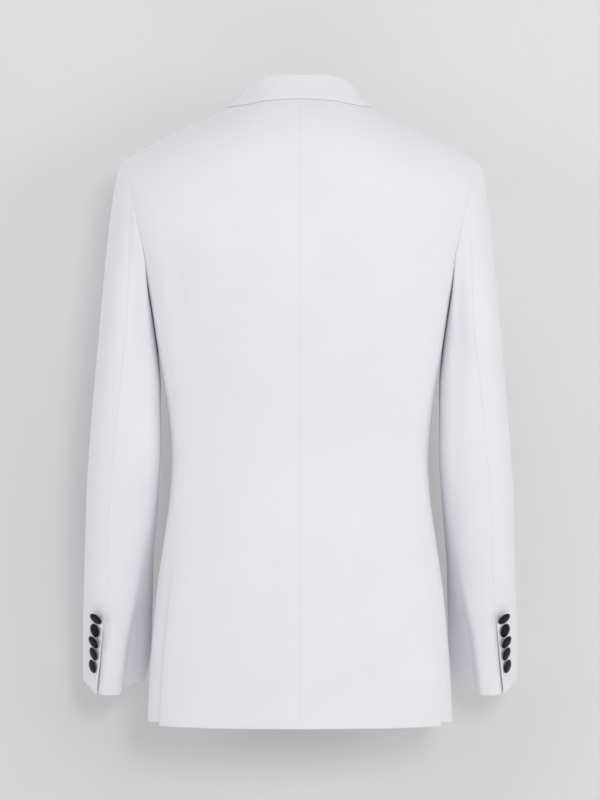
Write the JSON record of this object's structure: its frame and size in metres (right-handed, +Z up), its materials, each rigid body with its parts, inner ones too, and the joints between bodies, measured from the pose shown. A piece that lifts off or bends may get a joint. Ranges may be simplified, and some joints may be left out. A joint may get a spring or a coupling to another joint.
{
  "type": "tuxedo jacket",
  "caption": "White tuxedo jacket in its worn shape, hollow, with peak lapels, a one-button front, side vents and black covered buttons",
  "frame": {"origin": "centre of the neck opening, level with the nape seam, where the wearer's neck and shoulders carry the jacket", "axes": "+Z up, the front faces -Y, the wearer's left is +X"},
  "size_m": [0.542, 0.255, 0.7906],
  "materials": {
    "wool": "matt white worsted wool in a fine twill, softly pressed",
    "satin": "black satin drawn over domed buttons, low sheen"
  },
  "bodies": {
    "root": {"back_left": "wool", "back_right": "wool", "breast_welt": "wool", "collar": "wool", "front_left": "wool", "front_right": "wool", "hip_pocket_left": "wool", "hip_pocket_right": "wool", "lapel_left": "wool", "lapel_right": "wool", "side_left": "wool", "side_right": "wool", "top_sleeve_left": "wool", "top_sleeve_right": "wool", "under_sleeve_left": "wool", "under_sleeve_right": "wool", "cuff_button_left_1": "satin", "cuff_button_left_2": "satin", "cuff_button_left_3": "satin", "cuff_button_left_4": "satin", "cuff_button_left_5": "satin", "cuff_button_right_1": "satin", "cuff_button_right_2": "satin", "cuff_button_right_3": "satin", "cuff_button_right_4": "satin", "cuff_button_right_5": "satin", "front_button": "satin"}
  },
  "joints": []
}
